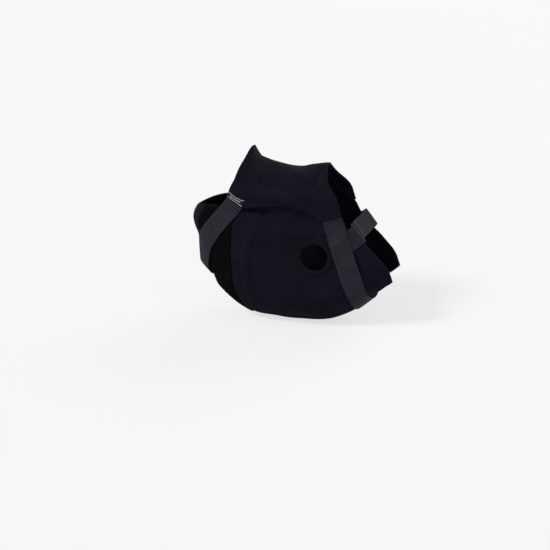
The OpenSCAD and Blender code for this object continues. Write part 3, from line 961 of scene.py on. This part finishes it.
front_upper = strap_edge(
    [[-119, 68], [-140, 44], [-158, 20], [-161, 6], [-159.5, -9]], 0, 188, FRONT_NEAR, FRONT_WRAP)
front_lower = strap_edge(
    [[-97, 56], [-119, 31], [-138, 5], [-144, -13], [-147, -28]], 0, 197, FRONT_NEAR, FRONT_WRAP)
front_full = ribbon(front_upper, front_lower, 12)
row = np.arange(len(front_full)) / FINE
# It lies low across the nose and is raised on the loop patches
raised = (np.abs(row - FRONT_MID) - 2) / 6
closed_strap("front", front_full, raised, (0, 1), 2, FRONT_END * FINE, FRONT_TAB_END * FINE)

rear_fore = strap_edge([[12.5, 43], [24, 8], [37, -31], [49, -66]], -180, -56, REAR_NEAR, REAR_WRAP)
rear_aft = strap_edge([[35.5, 50.5], [49, 15], [61.5, -20], [69, -47]], -180, -39, REAR_NEAR, REAR_WRAP)
rear_full = ribbon(rear_fore, rear_aft, 14)
row = np.arange(len(rear_full)) / FINE
# It is raised over the seat tube's strap, low between these two rows, and raised again for its pad
REAR_DOWN, REAR_UP = 20, REAR_MID + 4
raised = np.where(row < REAR_MID, REAR_DOWN - row, row - REAR_UP) / 6
closed_strap("rear", rear_full, raised, (5, 6), 1, REAR_END * FINE, REAR_TAB_END * FINE)
g = ribbon(rear_fore, rear_aft, 16, PAD_EXTRA)[REAR_PAD[0] * FINE:REAR_PAD[1] * FINE + 1]
loop_piece("rear_loop_cloth", g[..., 0], g[..., 1], ["rear_loop_pad"])

# The seat tube's strap: its two corners where it starts on the side and the two where it leaves it
TUBE_START = np.array([[32.5, -2.5], [20.0, 18.0]])
TUBE_LEAVE = np.array([[58.0, 17.0], [42.0, 38.0]])


def tube_near(extra=0.0, columns=15):
    """Angle and place of the strap where it lies on the side."""
    f = np.linspace(0, 1, TUBE_NEAR * FINE + 1)[:, None, None]
    w = np.linspace(-extra, 1 + extra, columns)[None, :, None]
    start, leave = (c[0] + (c[1] - c[0]) * w for c in (TUBE_START, TUBE_LEAVE))
    xz = start + (leave - start) * f
    return at(xz[..., 0], xz[..., 1], -180)


def tube_half(d):
    """The strap at a height d on the side, then free on its way to the mid-plane behind the tube."""
    laid = lay(tube_near(), d)
    p = laid[-1]
    x, zero, z = p[:, 0], 0 * p[:, 0], p[:, 2]
    knots = np.stack([
        p, p + [5, 2.5, 4], p + [6, 7.5, 4.6], p + [3, 19, 1.5],
        np.stack([x - 3, zero - 12, z - 3], -1), np.stack([x - 4, zero, z - 4], -1),
    ])
    f = np.arange(1, TUBE_WRAP * FINE + 1) / (TUBE_WRAP * FINE)
    wrap = np.stack([along(knots[:, j], f) for j in range(len(p))], 1)
    return np.concatenate([laid, wrap])


far_half = tube_half(STRAP_LIFT)[:TUBE_MID * FINE] * [1, -1, 1]
tube_full = np.concatenate([tube_half(GAP), far_half[::-1]])
tube_out = grid_normals(tube_full)
tube_top, tab_top = (tube_full + tube_out * crowned(tube_full, d)[..., None] for d in (WEBBING, HOOK))
end = TUBE_END * FINE
low, high = tube_full[:end + 1], tube_top[:end + 1]
strap = slab("seat_tube_strap_webbing", low, high, webbing, bevel=0.35)
rest_on_frame(strap, ["seat_tube_strap"])
hem("seat_tube_strap_hem", high, 1)
hook("seat_tube_hook_tape", tube_full, tab_top, end, TUBE_TAB_END * FINE, ["seat_tube_hook_tab"])
g = tube_near(PAD_EXTRA, 17)[:TUBE_PAD_END * FINE + 1]
loop_piece("seat_tube_loop_cloth", g[..., 0], on_side(g[..., 1], True), ["seat_tube_loop_pad"])

# The label, on the saddle's front corner
w, v = np.meshgrid(np.linspace(0, 1, 49), np.linspace(0, 1, 33), indexing="ij")
u, f = 0.03 + (0.94 + 0.19 * v) * w, 0.03 + 0.43 * v
x, y = u / SPANS * (saddle_low.shape[0] - 1), f / (2 * RIDGE) * (saddle_low.shape[1] - 1)
p, n = read_grid(saddle_low, x, y), unit(read_grid(saddle_out, x, y))
low = p + n * (NEOPRENE + 0.1)
high = p + n * (NEOPRENE + GAP + LABEL)
label = slab("label_cloth", low, high, label_cloth, bevel=0.2, uv=np.stack([w, v], -1))
rest_on_frame(label, ["label"])


def inner_loop(g):
    """The points of a grid one row inside its edge, all the way round."""
    return np.concatenate([g[1:-1, 1], g[-2, 1:-1], g[-2:0:-1, -2], g[1, -2:0:-1]])


stitches = running_stitch(inner_loop(high), inner_loop(n), 1.6, 0.5, 0.12)
rest_on_frame(threads("label_stitches", stitches, 0.13, dark_thread))


# Bindings round the axle openings
def binding_ring(name, side, stands_for):
    """A tape folded over the edge of an opening; side is 1 on the near panel and -1 on the far one."""
    q = np.linspace(0, 2 * np.pi, 361)[:-1]
    r1, y0, y1 = HOLE_R + BINDING_WIDTH, -GAP - BINDING, NEOPRENE + GAP + BINDING
    outer = [
        (r1, y0 + BINDING), (r1, y0 + 0.35), (r1 - 0.35, y0 + 0.05), (r1 - 1.6, y0), (r1 - 3, y0),
        (BORE_R + 1.0, y0 + 0.02),
    ]
    lip = [
        (BORE_R + 0.45, y0 + 0.18), (BORE_R + 0.08, y0 + 0.7), (BORE_R, y0 + 1.6),
        (BORE_R, y1 - 1.6), (BORE_R + 0.08, y1 - 0.7), (BORE_R + 0.45, y1 - 0.18),
    ]
    inner = [(BORE_R + 1.0, y1 - 0.02), (r1 - 0.35, y1 - 0.05), (r1, y1 - 0.35), (r1, y1 - BINDING)]
    under = [(BORE_R + BINDING, y1 - BINDING), (BORE_R + BINDING, y0 + BINDING)]
    profile = np.array(outer + lip + inner + under)
    # The outer face puckers between its stitches
    weight = np.zeros(len(profile))
    weight[:7] = [0, 0.3, 0.7, 1, 1, 0.6, 0.2]
    ripple = 0.5 + 0.3 * np.sin(34 * q + 0.8 * np.sin(3 * q)) + 0.2 * np.sin(53 * q + 1.3)
    y = -HALF + profile[None, :, 1] + ripple[:, None] * weight[None] * 0.35
    r = profile[None, :, 0] + 0 * y
    points = np.stack([r * np.cos(q)[:, None], side * y, r * np.sin(q)[:, None]], -1)
    n, m = points.shape[:2]
    faces = [
        (i * m + j, i * m + (j + 1) % m, ((i + 1) % n) * m + (j + 1) % m, ((i + 1) % n) * m + j)
        for i in range(n) for j in range(m)
    ]
    d = np.concatenate([[0], np.cumsum(np.linalg.norm(np.diff(profile, axis=0), axis=1))])
    uv = np.stack([np.repeat(q * (BORE_R + 3), m), np.tile(d, n)], -1) * MM
    ring = smooth_mesh(name, points.reshape(-1, 3), faces, uv, binding_cloth)
    rest_on_frame(ring, stands_for)
    stitch_r, stitch_y = r1 - 1.7, side * (-HALF + y0 + 0.35 * ripple)
    line = np.stack([stitch_r * np.cos(q), stitch_y, stitch_r * np.sin(q)], -1)
    stitches = running_stitch(line, np.tile([0.0, -side, 0.0], (len(q), 1)), 2.3, 0.7, 0.15)
    rest_on_frame(threads(name + "_stitches", stitches, 0.17, dark_thread))


binding_ring("binding_left_tape", 1, ["axle_binding_left"])
binding_ring("binding_right_tape", -1, ["axle_binding_right"])

# Stage
low_corner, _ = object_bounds()
floor_z = float(low_corner[2]) - 0.0005


def plane(name, corners, material):
    """A flat face of the stage."""
    mesh = bpy.data.meshes.new(name)
    mesh.from_pydata(corners, [], [(0, 1, 2, 3)])
    mesh.materials.append(material)
    link(bpy.data.objects.new(name, mesh))


# Strength of the world as a light and as seen, and the floor's own glow as seen
WORLD_LIGHT = 0.28
WORLD_SEEN = 0.93
FLOOR_SEEN = 0.7
# Half the side of the floor, in metres
FLOOR_HALF = 120.0


def seen(t):
    """1 for rays that look at the background, straight or by reflection or through glass, else 0."""
    ray = node(t, "ShaderNodeLightPath")
    mirrored = math(t, "MAXIMUM", ray.outputs["Is Glossy Ray"], ray.outputs["Is Transmission Ray"])
    return math(t, "MAXIMUM", ray.outputs["Is Camera Ray"], mirrored)


paper, t, b = new_material("studio_paper")
v = coords(t)
tint(t, b, noise(t, v, 3.0, 2.0), (0.80, 0.80, 0.80), (0.82, 0.82, 0.82))
b.inputs["Roughness"].default_value = 0.9
b.inputs["Specular IOR Level"].default_value = 0.1
glow = node(t, "ShaderNodeEmission", Strength=1.0)
mix = node(t, "ShaderNodeMixShader")
t.links.new(math(t, "MULTIPLY", seen(t), FLOOR_SEEN), mix.inputs[0])
t.links.new(b.outputs[0], mix.inputs[1])
t.links.new(glow.outputs[0], mix.inputs[2])
t.links.new(mix.outputs[0], t.nodes["Material Output"].inputs["Surface"])
ends = (-FLOOR_HALF, FLOOR_HALF)
plane("floor", [(ends[i], ends[j], floor_z) for i, j in ((0, 0), (1, 0), (1, 1), (0, 1))], paper)


def lamp(name, azimuth, elevation, strength, angle):
    """A soft distant lamp that shines from a compass direction, measured as the camera's is."""
    light = bpy.data.lights.new(name, "SUN")
    light.energy = strength
    light.angle = np.radians(angle)
    obj = link(bpy.data.objects.new(name, light))
    q, e = np.radians(azimuth), np.radians(elevation)
    source = Vector((np.sin(q) * np.cos(e), -np.cos(q) * np.cos(e), np.sin(e)))
    obj.rotation_mode = "QUATERNION"
    obj.rotation_quaternion = source.to_track_quat("Z", "Y")


lamp("key", -42, 39, 2.35, 16)
lamp("fill", 60, 18, 0.45, 60)
lamp("rear", 152, 24, 1.2, 50)

world = bpy.data.worlds.new("studio")
scene.world = world
world.use_nodes = True
t = world.node_tree
level = math(t, "MULTIPLY_ADD", seen(t), WORLD_SEEN - WORLD_LIGHT, WORLD_LIGHT)
t.links.new(level, t.nodes["Background"].inputs["Strength"])
t.nodes["Background"].inputs["Color"].default_value = (1, 1, 1, 1)
scene.view_settings.view_transform = "Standard"
